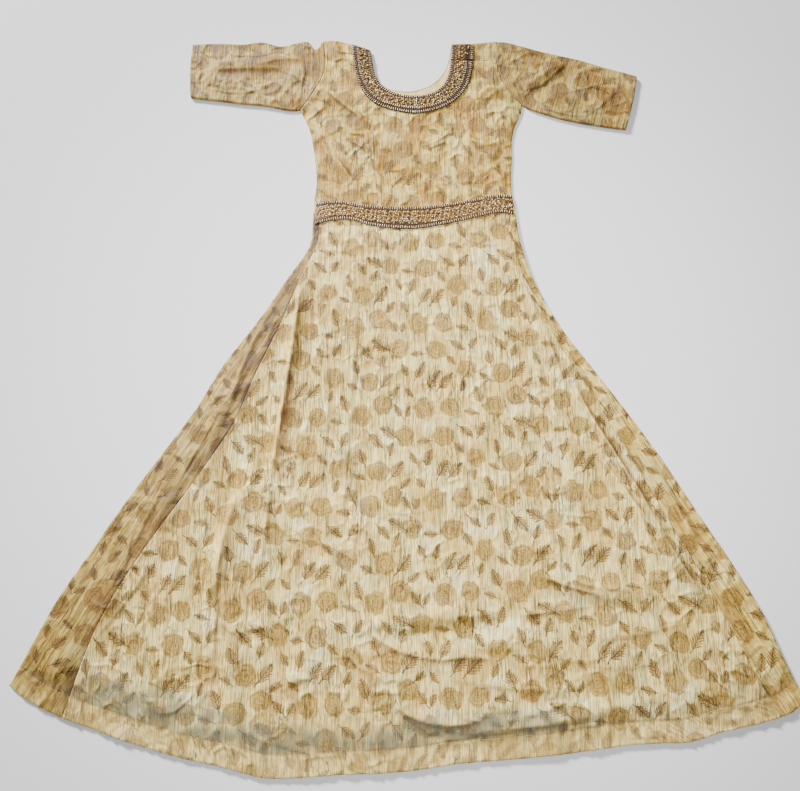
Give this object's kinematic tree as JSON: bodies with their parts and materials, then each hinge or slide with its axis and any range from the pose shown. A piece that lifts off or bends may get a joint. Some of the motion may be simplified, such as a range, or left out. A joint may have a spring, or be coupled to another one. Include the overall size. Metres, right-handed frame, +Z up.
{
  "type": "long gown",
  "caption": "Long gown laid flat, front up: round-necked darted bodice, elbow sleeves, banded waist, wide flared skirt with a turned-up hem.",
  "frame": {"origin": "centre of the footprint on the surface the gown lies on", "axes": "+Z up out of the surface, +Y from the hem to the neck, X across the gown"},
  "size_m": [1.348, 1.4033, 0.0193],
  "materials": {
    "sheer": "crinkled sheer cloth with a woven flower print",
    "lining": "plain smooth lining",
    "trim": "beaded and corded band"
  },
  "bodies": {
    "root": {"bodice_front": "sheer", "bodice_back": "sheer", "sleeve_left": "sheer", "sleeve_right": "sheer", "skirt_front": "sheer", "skirt_back": "sheer", "skirt_lining": "lining", "neck_trim": "trim", "neck_trim_back": "trim", "waist_trim": "trim"}
  },
  "joints": []
}
